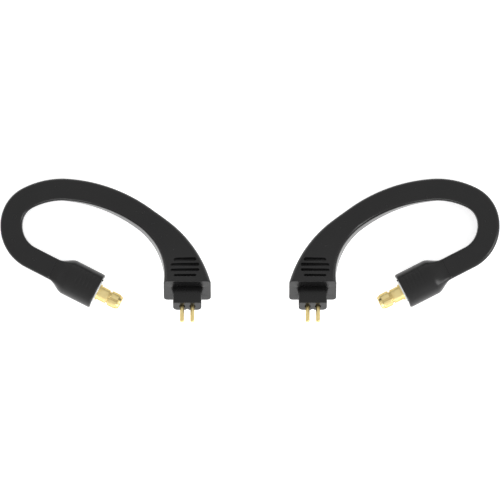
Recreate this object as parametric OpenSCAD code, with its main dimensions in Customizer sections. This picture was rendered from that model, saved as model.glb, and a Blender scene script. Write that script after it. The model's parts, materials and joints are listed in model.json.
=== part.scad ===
// A pair of replaceable moulded ear hooks for in-ear monitors.
// Each hook is a soft black loop that hangs over the ear. Its wide end carries a flat two-pin plug,
// and its thin end a round housing with a snap-in coaxial plug. The right hook mirrors the left one.
// Millimetres. The hooks lie on their backs: +X is the wearer-side right hook, +Y runs from the plugs
// to the crown of the loops, and +Z points away from the table.

/* [Loop] */
// Width of the thin loop, seen from the front
loop_w = 4.3; // [3.4:0.1:5.4]
// Depth of the thin loop, front to back
loop_t = 4.2; // [3.4:0.1:5.2]
// Width of the flat wide end
end_w = 9.2; // [8:0.1:11]
// Depth of the flat wide end
end_t = 6.6; // [5.6:0.1:8]
// Length over which the wide end narrows to the loop
taper_l = 16.5; // [14:0.5:20]
// Edge radius along the loop
edge_r = 0.8; // [0.6:0.05:1.2]
// Chamfer round the flat end face
end_chamfer = 0.15; // [0.05:0.05:0.3]
// Lift of the wide end out of the loop's plane, in degrees
end_lift = 34; // [26:1:40]
// Greatest twist of the loop about its own line, in degrees
twist = 12.5; // [0:0.5:15]
// Radius of the bend over the wide end
front_r = 16; // [13:0.5:20]
// Turn of the bend over the wide end, in degrees
front_turn = 46; // [44:1:48]
// Radius of the crown of the loop
crown_r = 28.9; // [24:0.5:35]
// Turn of the crown of the loop, in degrees
crown_turn = 41; // [39:1:43]
// Radius of the shoulder behind the crown
shoulder_r = 15; // [12:0.5:18]
// Turn of the shoulder, in degrees
shoulder_turn = 30; // [27:1:33]
// Radius of the tight bend at the back
back_r = 5.8; // [4.8:0.1:7]
// Turn of the tight bend, in degrees
back_turn = 50; // [47:1:53]
// Radius of the last bend before the round housing
tail_r = 6.9; // [5.9:0.1:8.6]
// Turn of the last bend, in degrees
tail_turn = 76; // [73:1:79]
// Straight stretch between the last bend and the round housing
tail_l = 5.1; // [4:0.1:6]

/* [Grip slots] */
// Number of grip slots in the front of the wide end
slot_n = 4; // [1:1:4]
// Distance between neighbouring slots
slot_pitch = 1.4; // [1.2:0.05:1.6]
// Distance of the last slot from the flat end face
slot_first = 1.6; // [1.2:0.05:2]
// Distance of the slots from the middle of the end face, towards the inside of the loop
slot_shift = 0.45; // [0:0.05:0.6]
// Height of the slot nearest the end face
slot_h_low = 0.5; // [0.35:0.05:0.6]
// Height of the slot farthest from the end face
slot_h_high = 0.85; // [0.6:0.05:1]
// Length of the outer slots
slot_l_short = 4.3; // [3.6:0.1:5]
// Length of the middle slots
slot_l_long = 5.5; // [4.6:0.1:6]
// Depth of the slots
slot_depth = 0.5; // [0.3:0.05:0.6]

/* [Two-pin plug] */
// Pin diameter
pin_d = 0.78; // [0.65:0.01:0.94]
// Distance between the pin centres
pin_pitch = 2; // [1.7:0.05:2.4]
// Length of each pin outside its block
pin_l = 3.65; // [3:0.05:4.5]
// Width of the plug block
block_w = 5.5; // [4.6:0.1:6]
// Depth of the plug block, front to back
block_t = 2.7; // [2.3:0.05:3]
// Length of the plug block outside the loop
block_l = 3.65; // [3:0.05:4.4]
// Radius of the plug block's front edges
block_r = 0.4; // [0.3:0.05:0.6]
// Radius of the plug block's back edges
block_back_r = 0.9; // [0.6:0.05:1.1]
// Radius of the keying groove in the back of the block
key_r = 0.3; // [0.2:0.05:0.35]

/* [Round plug] */
// Diameter of the round housing
housing_d = 7.06; // [6.4:0.02:8.5]
// Length of the full-diameter stretch of the round housing
housing_l = 6.05; // [5:0.05:7.3]
// Length over which the housing swells from the loop
flare_l = 3.4; // [2.8:0.1:4]
// Number of grip grooves on each side of the housing
groove_n = 5; // [1:1:5]
// Distance between neighbouring grip grooves
groove_pitch = 0.8; // [0.7:0.05:0.9]
// Diameter of the round plug's flange
flange_d = 3.24; // [2.9:0.02:3.8]
// Length of the flange outside the housing
flange_l = 0.38; // [0.3:0.01:0.5]
// Diameter of the round plug's collar
collar_d = 2.75; // [2.4:0.05:2.85]
// Distance from the housing to the collar's far end
collar_end = 2.28; // [1.9:0.02:2.4]
// Diameter of the stem between the collar and the snap ring
stem_d = 2.38; // [2.2:0.02:2.6]
// Outside diameter of the snap ring
ring_d = 3; // [2.8:0.05:3.6]
// Length of the snap ring
ring_l = 1.75; // [1.2:0.05:1.85]
// Length of the round plug outside the housing
plug_l = 5.03; // [4.8:0.01:6]
// Diameter of the centre contact
contact_d = 0.4; // [0.34:0.01:0.48]

/* [Wires] */
// Diameter of the insulated wires
wire_d = 0.84; // [0.7:0.02:1.02]
// Diameter of the copper cores
core_d = 0.4; // [0.3:0.02:0.44]
// Diameter of the memory wire that keeps the loop's shape
memory_d = 0.7; // [0.5:0.05:0.8]
// Gap between neighbouring wires, and between the wires and the bore of the loop
wire_clear = 0.2; // [0.12:0.02:0.3]

/* [Pair] */
// Distance from the middle of the pair to the middle of each wide end
half_gap = 12.12; // [11:0.1:16]
// Distance of the flat end faces from the middle of the pair, along Y
end_y = 7.78; // [7:0.01:9]

/* [Hidden] */
// Sub-part names. The first twenty belong to each hook.
$fa = 5;
$fs = 0.1;

// Clearances
slide_gap = 0.05;    // between pieces that are pushed together and glued
wire_gap = 0.06;     // round a core or a solder joint
over = 0.02;         // how far a cut runs past what it cuts

// Colours
black_rubber = [0.13, 0.13, 0.135];
black_plastic = [0.09, 0.09, 0.095];
gold = [0.83, 0.68, 0.36];
silver = [0.78, 0.79, 0.8];
copper = [0.8, 0.45, 0.28];
white_plastic = [0.93, 0.93, 0.9];
amber = [0.75, 0.68, 0.5];
steel = [0.6, 0.61, 0.62];

// ---- The loop's line ----
// Arcs of the line seen from the front, each a radius and a turn, from the wide end to the housing
arcs = [
  [front_r, front_turn], [crown_r, crown_turn], [shoulder_r, shoulder_turn],
  [back_r, back_turn], [tail_r, tail_turn]
];
start_heading = 90;
start = [-half_gap, -end_y];
taper_power = 1.42;   // the width falls away quickly at first and then slowly
lift_power = 2.5;     // the lift fades smoothly towards the crown
ease = 0.15;          // share of the tail over which its climb starts

function arc_length(i) = arcs[i][0] * arcs[i][1] * PI / 180;
function arc_begin(i) = i == 0 ? 0 : arc_begin(i - 1) + arc_length(i - 1);
function arc_heading(i) = i == 0 ? start_heading : arc_heading(i - 1) + arcs[i - 1][1];
function along_arc(p, heading, r, turn) =
  p + r * [sin(heading + turn) - sin(heading), cos(heading) - cos(heading + turn)];
function arc_start(i) =
  i == 0 ? start : along_arc(arc_start(i - 1), arc_heading(i - 1), arcs[i - 1][0], arcs[i - 1][1]);
begins = [for (i = [0 : len(arcs)]) arc_begin(i)];
headings = [for (i = [0 : len(arcs)]) arc_heading(i)];
corners = [for (i = [0 : len(arcs)]) arc_start(i)];

function arc_at(s, i = 0) = i == len(arcs) || s < begins[i + 1] ? i : arc_at(s, i + 1);
function heading(s) =
  let (i = arc_at(s))
  i == len(arcs) ? headings[i] : headings[i] + (s - begins[i]) / arcs[i][0] * 180 / PI;
function flat_point(s) =
  let (i = arc_at(s), ahead = s - begins[i])
  i == len(arcs)
    ? corners[i] + ahead * [cos(headings[i]), sin(headings[i])]
    : along_arc(corners[i], headings[i], arcs[i][0], ahead / arcs[i][0] * 180 / PI);

crown_s = begins[2];                       // where the loop lies lowest
seam_s = begins[len(arcs)] + tail_l;       // where the loop meets the housing
tail_run = seam_s - crown_s;
end_slope = tan(end_lift);
end_rise = end_slope * crown_s / lift_power;
// The tail climbs just enough for the housing to touch the table.
ease_slope = (1 + 2 * ease) / (1 + ease);
tail_climb = (housing_d - loop_t) / 2 / (1 + ease_slope * flare_l / tail_run);

function height(s) =
  s < crown_s
    ? loop_t / 2 + end_rise * pow(1 - s / crown_s, lift_power)
    : let (x = (s - crown_s) / tail_run)
      loop_t / 2 + (x < 1
        ? tail_climb * (1 + ease) * x * x / (x + ease)
        : tail_climb * (1 + ease_slope * (x - 1)));
function slope(s) =
  s < crown_s
    ? -end_slope * pow(1 - s / crown_s, lift_power - 1)
    : let (x = min(1, (s - crown_s) / tail_run))
      tail_climb / tail_run * (1 + ease) * x * (x + 2 * ease) / pow(x + ease, 2);
function roll(s) = heading(s) < 180 ? twist * sin(2 * (180 - heading(s))) : 0;

function unit(v) = v / norm(v);
function ahead_of(s) = unit([cos(heading(s)), sin(heading(s)), slope(s)]);
function level_side(s) = [-sin(heading(s)), cos(heading(s)), 0];
// The line follows the middle of the front face, so a twisted section sits further in.
function point(s) =
  concat(flat_point(s), height(s)) + depth(s) / 2 * sin(roll(s)) * level_side(s);
// Axes of the loop's section: towards the inside of the loop, and towards the front
function side_axis(s) =
  cos(roll(s)) * level_side(s) + sin(roll(s)) * cross(ahead_of(s), level_side(s));
function front_axis(s) = cross(ahead_of(s), side_axis(s));
function in_loop(s, a, b) = point(s) + a * side_axis(s) + b * front_axis(s);

// ---- Frames of the two plugs ----
end_z = height(0);
housing_heading = headings[len(arcs)];
housing_climb = atan(slope(seam_s));
seam_point = point(seam_s);

module at_wide_end() {
  translate([start.x, start.y, end_z]) rotate([90 - end_lift, 0, 0]) children();
}
module at_housing() {
  translate(seam_point) rotate([0, 90 - housing_climb, housing_heading]) children();
}
// Points given in those frames, for the wires
function from_wide_end(x, y, z) =
  [start.x + x,
   start.y + y * sin(end_lift) - z * cos(end_lift),
   end_z + y * cos(end_lift) + z * sin(end_lift)];
function from_housing(a, b, u) =
  seam_point + a * side_axis(seam_s) + b * front_axis(seam_s) + u * ahead_of(seam_s);

// ---- The bore that the wires run through ----
thickest = max(wire_d, memory_d);
wire_r = (thickest + wire_clear * 5 / 3) / sqrt(3);   // distance of each wire from the loop's line
lumen_d = 2 * wire_r + thickest + 2 * wire_clear;

// ---- Sections of the loop ----
ring_sides = 16;
corner_steps = ring_sides / 4 - 1;
function taper(s) = pow(max(0, 1 - s / taper_l), taper_power);
function width(s) = loop_w + (end_w - loop_w) * taper(s);
function depth(s) = loop_t + (end_t - loop_t) * taper(s);
// The section turns round near the housing, so that it meets the housing's round lip.
round_l = 7;
function roundness(s) =
  let (x = min(1, max(0, (s - seam_s + round_l) / round_l))) x * x * (3 - 2 * x);
function mix(a, b, t) = a + (b - a) * t;
function section(w, t, r) = [
  for (q = [0 : 3], k = [0 : corner_steps])
    let (turn = 90 * (q + k / corner_steps),
         a = (q == 0 || q == 3 ? 1 : -1) * (w / 2 - r),
         b = (q < 2 ? 1 : -1) * (t / 2 - r))
    [a + r * cos(turn), b + r * sin(turn)]
];
function loop_ring(s, w, t, r) = [for (p = section(w, t, r)) in_loop(s, p.x, p.y)];
function outer_ring(s, inset = 0) =
  let (r = mix(edge_r, loop_w / 2, roundness(s)),
       w = mix(width(s), loop_w, roundness(s)),
       t = mix(depth(s), loop_w, roundness(s)))
  loop_ring(s, w - 2 * inset, t - 2 * inset, max(0.1, r - inset));
function wide_end_ring(z, w, t, r) =
  [for (p = section(w, t, r)) from_wide_end(-p.x, p.y, z)];
function flat(lists) = [for (l = lists) each l];

// Faces of a strip of rings, each of n points, the first of them numbered from
function strip(rings, n, from, turned = false) = [
  for (i = [0 : rings - 2], k = [0 : n - 1])
    let (a = from + i * n + k, b = from + i * n + (k + 1) % n)
    each turned
      ? [[a, a + n, b], [b, a + n, b + n]]
      : [[a, b, a + n], [b, b + n, a + n]]
];
function cap(n, outer, inner, turned = false) = [
  for (k = [0 : n - 1])
    let (a = outer + k, b = outer + (k + 1) % n, c = inner + k, d = inner + (k + 1) % n)
    each turned ? [[a, b, c], [b, d, c]] : [[a, c, b], [b, c, d]]
];

// ---- Sizes inside the wide end, measured inwards from the end face ----
lip = 0.9;                                 // wall of the loop that the block passes through
foot_l = 1.6;                              // the block's foot, behind the lip
foot_w = block_w + 0.7;
foot_t = block_t + 0.7;
cup_d = core_d + 0.5;                      // solder cup at the back of each pin
cup_l = 1.4;
sleeve_t = 0.12;
sleeve_bore = max(cup_d, wire_d) + 2 * wire_gap;
sleeve_d = sleeve_bore + 2 * sleeve_t;
sleeve_l = 2.6;
foot_back = lip + foot_l;
potting_w = pin_pitch + sleeve_d + 0.9;
potting_t = sleeve_d + 1;
potting_l = 2.3;
potting_back = foot_back + potting_l;
pocket_r = 0.3;

// ---- Sizes inside the housing, measured from the seam ----
neck_l = 2.2;                              // the loop's neck inside the housing
neck_d = max(loop_w - 0.8, lumen_d + 0.3);
face_u = flare_l + housing_l;              // the housing's front face
chamber_u = neck_l + 0.3;
mould_end = face_u - 1.9;
mould_d = housing_d - 1.9;
ferrule_u = chamber_u + 1.6;
ferrule_l = 1.2;
barrel_u = ferrule_u + ferrule_l + 0.1;
tail_d = 2.2;                              // the shell's tail, inside the ferrule
ferrule_d = tail_d + 1.5;
tag_r = tail_d / 2 + 0.4;                  // the ground core's hole in the ferrule
bore_d = contact_d + 1.16;                 // bore of the shell, round the dielectric
cup_u = ferrule_u - 0.5;                   // the centre contact's solder cup
end_ring_t = 0.3;
end_ring_d = housing_d - 0.9;
end_ring_step = 0.25;                      // how far the ring stands proud of the face

// ---- Jacket ----
step = 1.25;                               // distance between sections
loop_stations = [for (i = [1 : floor(seam_s / step) - 1]) i * step];
lumen_stations = [for (s = loop_stations) if (s > 9.6) s];
outer_rings = concat(
  [outer_ring(0, end_chamfer), outer_ring(end_chamfer)],
  [for (s = loop_stations) outer_ring(s)],
  [outer_ring(seam_s),
   loop_ring(seam_s, neck_d, neck_d, neck_d / 2),
   loop_ring(seam_s + neck_l, neck_d, neck_d, neck_d / 2)]);
inner_rings = concat(
  [for (z = [0, -lip])
     wide_end_ring(z, block_w + 2 * slide_gap, block_t + 2 * slide_gap, block_r)],
  [for (z = [-lip, -foot_back - slide_gap])
     wide_end_ring(z, foot_w + 2 * slide_gap, foot_t + 2 * slide_gap, pocket_r)],
  [for (z = [-foot_back - slide_gap, -potting_back - slide_gap])
     wide_end_ring(z, potting_w + 2 * slide_gap, potting_t + 2 * slide_gap, pocket_r)],
  [for (s = [7.3, 9]) loop_ring(s, mix(potting_w, lumen_d, (s - 5) / 4),
     mix(potting_t, lumen_d, (s - 5) / 4), mix(pocket_r, lumen_d / 2, (s - 5) / 4))],
  [for (s = lumen_stations) loop_ring(s, lumen_d, lumen_d, lumen_d / 2)],
  [loop_ring(seam_s + neck_l, lumen_d, lumen_d, lumen_d / 2)]);

module jacket_body() {
  n = ring_sides;
  outer = len(outer_rings);
  inner = len(inner_rings);
  from = outer * n;
  polyhedron(
    points = concat(flat(outer_rings), flat(inner_rings)),
    faces = concat(
      strip(outer, n, 0, true), strip(inner, n, from),
      cap(n, 0, from, true), cap(n, from - n, from + (inner - 1) * n)),
    convexity = 8);
}
slot_cut = 1.5;                            // height of a slot's cutter, past the loop's face
module grip_slots() {
  for (i = [0 : slot_n - 1]) {
    h = mix(slot_h_low, slot_h_high, i / 3);
    l = i == 0 || i == 3 ? slot_l_short : slot_l_long;
    s = (slot_first + i * slot_pitch) * cos(end_lift);
    floor_point = in_loop(s, 0, depth(s) / 2 - slot_depth);
    translate([start.x - slot_shift, floor_point.y, floor_point.z])
      rotate([-end_lift, 0, 0]) linear_extrude(slot_cut)
        hull() for (side = [-1, 1]) translate([side * (l - h) / 2, 0]) circle(d = h, $fn = 24);
  }
}
module jacket() {
  color(black_rubber) difference() {
    jacket_body();
    grip_slots();
  }
}

// ---- Two-pin plug ----
// A bar with rounded edges; the two edges at its back can have their own radius
module rounded_bar(w, t, r, z0, z1, back_r = 0) {
  translate([0, 0, z0]) linear_extrude(z1 - z0)
    hull() for (x = [-1, 1], y = [-1, 1]) {
      edge = y < 0 && back_r > 0 ? back_r : r;
      translate([x * (w / 2 - edge), y * (t / 2 - edge)]) circle(edge, $fn = 24);
    }
}
counterbore_d = pin_d + 0.34;
counterbore_l = 0.3;
web_t = 0.15;                              // wall between the counterbore and the barrel
barrel_pin_d = pin_d + 0.42;               // the pin's barrel, behind that wall
barrel_z = block_l - counterbore_l - web_t;
pin_root_l = 0.1;                          // the pin's full diameter starts this far out
pin_root_cut = 0.03;                       // how much thinner its radius is at the barrel
barrel_back = foot_back - 0.6;             // the barrel ends inside the foot
module at_pins() {
  for (x = [-1, 1]) translate([x * pin_pitch / 2, 0, 0]) children();
}
module plug_block() {
  color(black_plastic) at_wide_end() difference() {
    union() {
      rounded_bar(block_w, block_t, block_r, -lip - foot_l / 2, 0);
      rounded_bar(block_w, block_t, block_r, -over, block_l, block_back_r);
      rounded_bar(foot_w, foot_t, pocket_r, -foot_back, -lip - slide_gap);
    }
    at_pins() {
      translate([0, 0, -foot_back - 1]) cylinder(d = pin_d + 0.02, h = foot_back + block_l + 2);
      translate([0, 0, block_l - counterbore_l]) cylinder(d = counterbore_d, h = 1);
      translate([0, 0, -foot_back - 1])
        cylinder(d = barrel_pin_d + 2 * slide_gap, h = 1 + foot_back + barrel_z);
    }
    translate([0, -block_t / 2, -over]) cylinder(r = key_r, h = block_l + 1, $fn = 24);
  }
}
module pin() {
  tip_r = pin_d / 2;
  color(gold) difference() {
    rotate_extrude($fn = 36) polygon([
      [0, block_l + pin_l],
      for (a = [75 : -15 : 0]) [tip_r * cos(a), block_l + pin_l - tip_r * (1 - sin(a))],
      [tip_r, block_l + pin_root_l], [tip_r - pin_root_cut, barrel_z - slide_gap],
      [barrel_pin_d / 2, barrel_z - slide_gap],
      [barrel_pin_d / 2, -barrel_back], [cup_d / 2, -barrel_back],
      [cup_d / 2, -foot_back - cup_l], [0, -foot_back - cup_l]
    ]);
    translate([0, 0, -foot_back - cup_l - over])
      cylinder(d = core_d + wire_gap, h = cup_l - 0.3, $fn = 24);
  }
}
module signal_pin() {
  at_wide_end() translate([pin_pitch / 2, 0, 0]) pin();
}
module ground_pin() {
  at_wide_end() translate([-pin_pitch / 2, 0, 0]) pin();
}
module potting() {
  color(amber) at_wide_end() difference() {
    rounded_bar(potting_w, potting_t, pocket_r, -potting_back, -foot_back - slide_gap);
    at_pins() translate([0, 0, -potting_back - 1])
      cylinder(d = sleeve_d + wire_gap, h = potting_l + 2);
  }
}
module sleeve() {
  color(black_plastic) difference() {
    translate([0, 0, -foot_back - slide_gap - sleeve_l]) cylinder(d = sleeve_d, h = sleeve_l);
    translate([0, 0, -foot_back - sleeve_l - 1]) cylinder(d = sleeve_bore, h = sleeve_l + 2);
  }
}
module signal_sleeve() {
  at_wide_end() translate([pin_pitch / 2, 0, 0]) sleeve();
}
module ground_sleeve() {
  at_wide_end() translate([-pin_pitch / 2, 0, 0]) sleeve();
}

// ---- Wires ----
wire_sides = 8;
wire_step = 1.5;
wire_stations = [for (i = [6 : floor(seam_s / wire_step) - 1]) i * wire_step];
// Points of a wire that runs at an angle round the loop's line
function in_lumen(angle) =
  [for (s = wire_stations) in_loop(s, wire_r * cos(angle), wire_r * sin(angle))];
function at_neck(angle, r, u) = from_housing(r * cos(angle), r * sin(angle), u);

signal_angle = 210;
ground_angle = -30;
memory_angle = 90;
insulation_z = -foot_back - cup_l - 0.15;
core_z = -foot_back - cup_l + 0.8;
straight_z = -foot_back - sleeve_l - 0.1;
function wire_start(x, z) = [from_wide_end(x, 0, z), from_wide_end(x, 0, straight_z)];
function fan_in(angle, x) =
  [in_loop(7.2, -0.75 * x, 0.5 * wire_r * sin(angle))];
signal_x = pin_pitch / 2;
signal_route = concat(fan_in(signal_angle, signal_x), in_lumen(signal_angle),
  [for (u = [0, neck_l]) at_neck(signal_angle, wire_r, u)]);
ground_route = concat(fan_in(ground_angle, -signal_x), in_lumen(ground_angle),
  [for (u = [0, neck_l]) at_neck(ground_angle, wire_r, u)]);

function lower(v) = unit(cross([0, 0, 1], v));
function direction(p, i) = unit(p[min(len(p) - 1, i + 1)] - p[max(0, i - 1)]);
function wire_rings(p, d, n) = [
  for (i = [0 : len(p) - 1])
    let (t = direction(p, i), a = lower(t), b = cross(t, a))
    [for (k = [0 : n - 1]) p[i] + d / 2 * (cos(360 * k / n) * a + sin(360 * k / n) * b)]
];
// A round wire along points
module wire(p, d) {
  n = wire_sides;
  rings = wire_rings(p, d, n);
  last = (len(p) - 1) * n;
  polyhedron(
    points = flat(rings),
    faces = concat(strip(len(p), n, 0, true),
      [[for (k = [0 : n - 1]) k], [for (k = [n - 1 : -1 : 0]) last + k]]),
    convexity = 6);
}
// A round tube along points
module tube(p, d, bore) {
  n = wire_sides;
  from = len(p) * n;
  polyhedron(
    points = concat(flat(wire_rings(p, d, n)), flat(wire_rings(p, bore, n))),
    faces = concat(strip(len(p), n, 0, true), strip(len(p), n, from),
      cap(n, 0, from, true), cap(n, from - n, 2 * from - n)),
    convexity = 8);
}
signal_insulation_end = cup_u - 0.5;
ground_insulation_end = ferrule_u - 0.5;
module signal_insulation() {
  color(white_plastic) tube(concat(wire_start(signal_x, insulation_z), signal_route,
    [at_neck(signal_angle, 0, signal_insulation_end)]), wire_d, core_d + wire_gap);
}
module signal_core() {
  color(copper) wire(concat(wire_start(signal_x, core_z), signal_route,
    [for (u = [signal_insulation_end, cup_u + 0.8]) at_neck(signal_angle, 0, u)]), core_d);
}
module ground_insulation() {
  color(copper * 0.5) tube(concat(wire_start(-signal_x, insulation_z), ground_route,
    [at_neck(ground_angle, mix(wire_r, tag_r, 0.75), ground_insulation_end)]),
    wire_d, core_d + wire_gap);
}
module ground_core() {
  color(copper) wire(concat(wire_start(-signal_x, core_z), ground_route,
    [at_neck(ground_angle, mix(wire_r, tag_r, 0.75), ground_insulation_end)],
    [for (u = [ferrule_u, ferrule_u + 0.9]) at_neck(ground_angle, tag_r, u)]), core_d);
}
module memory_wire() {
  color(steel) wire(concat([in_loop(7.2, 0, 0.5 * wire_r)], in_lumen(memory_angle),
    [for (u = [0, neck_l - 0.2]) at_neck(memory_angle, wire_r, u)]), memory_d);
}

// ---- Round housing and its plug ----
swell_steps = 10;
lip_r = loop_w / 2 + 0.03;
function swell(x) = x * x * (3 - 2 * x);
edge = 0.3;
module housing_shape() {
  r = housing_d / 2;
  rotate_extrude($fn = 96) polygon([
    [neck_d / 2 + slide_gap, slide_gap],
    for (i = [0 : swell_steps]) let (x = i / swell_steps)
      [mix(lip_r, r, swell(x)), slide_gap + x * (flare_l - slide_gap)],
    for (a = [0 : 30 : 90]) [r - edge + edge * cos(a), face_u - edge + edge * sin(a)],
    [end_ring_d / 2 + slide_gap, face_u],
    [end_ring_d / 2 + slide_gap, face_u - end_ring_t],
    [flange_d / 2 + slide_gap, face_u - end_ring_t],
    [flange_d / 2 + slide_gap, mould_end + slide_gap],
    [mould_d / 2 + slide_gap, mould_end + slide_gap],
    [mould_d / 2 + slide_gap, chamber_u - slide_gap],
    [neck_d / 2 + slide_gap, chamber_u - slide_gap]
  ]);
}
groove_w = 0.3;
groove_first = 1.2;                        // from the housing's face to the first groove
groove_depth = 0.1;
groove_span = 46;                          // degrees round the housing
groove_turn = 17;                          // turned towards the inside of the loop
module grip_grooves() {
  r = housing_d / 2;
  for (i = [0 : groove_n - 1], side = [0, 180])
    translate([0, 0, face_u - groove_first - i * groove_pitch])
      rotate([0, 0, side + 180 - groove_turn - groove_span / 2])
        rotate_extrude(angle = groove_span, $fn = 96)
          translate([r + groove_w / 2 - groove_depth, 0]) circle(d = groove_w, $fn = 16);
}
module housing() {
  color(black_plastic) at_housing() difference() {
    housing_shape();
    grip_grooves();
  }
}
module revolved_tube(d, bore, u0, u1) {
  rotate_extrude($fn = 72)
    translate([bore / 2, u0]) square([(d - bore) / 2, u1 - u0]);
}
module end_ring() {
  color(silver) at_housing()
    revolved_tube(end_ring_d, flange_d + 2 * slide_gap, face_u - end_ring_t + over,
      face_u + end_ring_step);
}
module inner_mould() {
  color(white_plastic) at_housing() rotate_extrude($fn = 72) polygon([
    [ferrule_d / 2 + slide_gap, chamber_u], [mould_d / 2, chamber_u],
    [mould_d / 2, mould_end], [flange_d / 2 + slide_gap, mould_end],
    [flange_d / 2 + slide_gap, barrel_u], [ferrule_d / 2 + slide_gap, barrel_u]
  ]);
}
neck_u = collar_end + 0.2;                 // the groove behind the collar
ring_end = plug_l - 0.58;
ring_u = ring_end - ring_l;
seat_d = ring_d - 0.8;                     // the groove that the snap ring sits in
nose_d = ring_d - 0.7;
module shell() {
  stem = stem_d / 2;
  color(gold) at_housing() rotate_extrude($fn = 72) polygon([
    [bore_d / 2, ferrule_u], [tail_d / 2, ferrule_u], [tail_d / 2, barrel_u],
    [flange_d / 2, barrel_u], [flange_d / 2, face_u + flange_l],
    [collar_d / 2, face_u + flange_l], [collar_d / 2, face_u + collar_end],
    [stem - 0.08, face_u + collar_end], [stem - 0.08, face_u + neck_u],
    [stem, face_u + neck_u], [stem, face_u + ring_u - 0.15],
    [seat_d / 2, face_u + ring_u - 0.15], [seat_d / 2, face_u + ring_end + slide_gap],
    [ring_d / 2 - 0.06, face_u + ring_end + slide_gap], [nose_d / 2, face_u + plug_l],
    [bore_d / 2, face_u + plug_l]
  ]);
}
split = 0.35;                              // the gap that lets the snap ring close
ring_bore = seat_d + 2 * slide_gap;
module snap_ring() {
  color(gold) at_housing() difference() {
    rotate_extrude($fn = 72) polygon([
      [ring_bore / 2, face_u + ring_u], [ring_d / 2 - 0.1, face_u + ring_u],
      [ring_d / 2, face_u + ring_u + 0.15], [ring_d / 2, face_u + ring_end - 0.1],
      [ring_d / 2 - 0.06, face_u + ring_end], [ring_bore / 2, face_u + ring_end]
    ]);
    translate([0, -split / 2, face_u + ring_u - 1]) cube([ring_d, split, ring_l + 2]);
  }
}
module dielectric() {
  color(white_plastic) at_housing()
    revolved_tube(bore_d - 0.02, contact_d + 0.02, ferrule_u + 0.4, face_u + plug_l - 0.9);
}
contact_cup_d = contact_d + 0.34;
contact_cup_l = 0.85;
module contact() {
  color(gold) at_housing() difference() {
    rotate_extrude($fn = 36) polygon([
      [0, cup_u], [contact_cup_d / 2, cup_u],
      [contact_cup_d / 2, cup_u + contact_cup_l], [contact_d / 2, cup_u + contact_cup_l],
      [contact_d / 2, face_u + plug_l - 0.35], [contact_d / 4, face_u + plug_l - 0.15],
      [0, face_u + plug_l - 0.15]
    ]);
    translate([0, 0, cup_u - over]) cylinder(d = core_d + wire_gap, h = contact_cup_l, $fn = 24);
  }
}
module ferrule() {
  color(silver) at_housing() difference() {
    revolved_tube(ferrule_d, tail_d + 2 * slide_gap, ferrule_u, ferrule_u + ferrule_l);
    // The housing frame's local X points away from the front of the loop.
    translate([-tag_r * sin(ground_angle), tag_r * cos(ground_angle), ferrule_u - over])
      cylinder(d = core_d + wire_gap, h = 1, $fn = 24);
  }
}

// ---- The two hooks ----
module right() {
  mirror([1, 0, 0]) children();
}

jacket();  // left_jacket
plug_block();  // left_plug_block
signal_pin();  // left_signal_pin
ground_pin();  // left_ground_pin
potting();  // left_potting
signal_sleeve();  // left_signal_sleeve
ground_sleeve();  // left_ground_sleeve
memory_wire();  // left_memory_wire
signal_insulation();  // left_signal_insulation
signal_core();  // left_signal_core
ground_insulation();  // left_ground_insulation
ground_core();  // left_ground_core
housing();  // left_housing
end_ring();  // left_end_ring
inner_mould();  // left_inner_mould
shell();  // left_shell
snap_ring();  // left_snap_ring
dielectric();  // left_dielectric
contact();  // left_contact
ferrule();  // left_ferrule
right() jacket();  // right_jacket
right() plug_block();  // right_plug_block
right() signal_pin();  // right_signal_pin
right() ground_pin();  // right_ground_pin
right() potting();  // right_potting
right() signal_sleeve();  // right_signal_sleeve
right() ground_sleeve();  // right_ground_sleeve
right() memory_wire();  // right_memory_wire
right() signal_insulation();  // right_signal_insulation
right() signal_core();  // right_signal_core
right() ground_insulation();  // right_ground_insulation
right() ground_core();  // right_ground_core
right() housing();  // right_housing
right() end_ring();  // right_end_ring
right() inner_mould();  // right_inner_mould
right() shell();  // right_shell
right() snap_ring();  // right_snap_ring
right() dielectric();  // right_dielectric
right() contact();  // right_contact
right() ferrule();  // right_ferrule
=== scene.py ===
"""Looks of a mirrored pair of moulded ear hooks for in-ear monitors.

Sizes are in millimetres until a mesh is made. The left hook is built, and the right one mirrors it.
"""

import json
import math

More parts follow.
